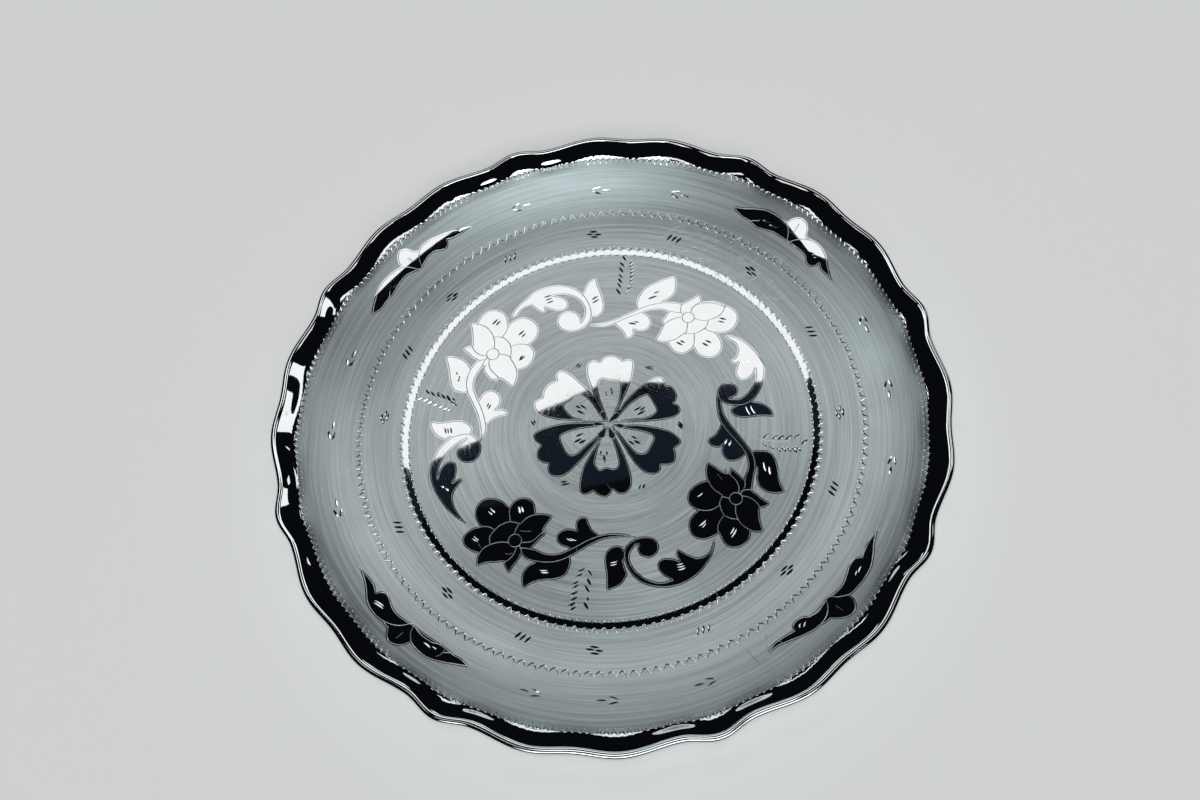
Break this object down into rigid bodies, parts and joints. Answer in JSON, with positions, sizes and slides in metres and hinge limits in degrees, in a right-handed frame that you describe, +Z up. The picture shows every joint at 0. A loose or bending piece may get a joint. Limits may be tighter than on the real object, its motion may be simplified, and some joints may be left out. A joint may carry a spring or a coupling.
{
  "type": "decorative plate",
  "caption": "Shallow round sheet-metal plate with a flat floor, a smoothly rising flange, a scalloped edge and a wired rolled rim.",
  "frame": {"origin": "centre of the flat underside that the plate rests on", "axes": "+Z up out of the dish, along the axis that the plate was spun about; +X to the right in the picture"},
  "size_m": [0.2974, 0.2974, 0.0167],
  "materials": {
    "plate_metal": "satin from fine turning on the floor and flange, mirror-polished motifs and rim band, bright hand-cut lines",
    "wire_steel": "drawn bright steel wire, closed in the rolled edge"
  },
  "bodies": {
    "root": {"plate_body": "plate_metal", "rim_wire": "wire_steel"}
  },
  "joints": []
}
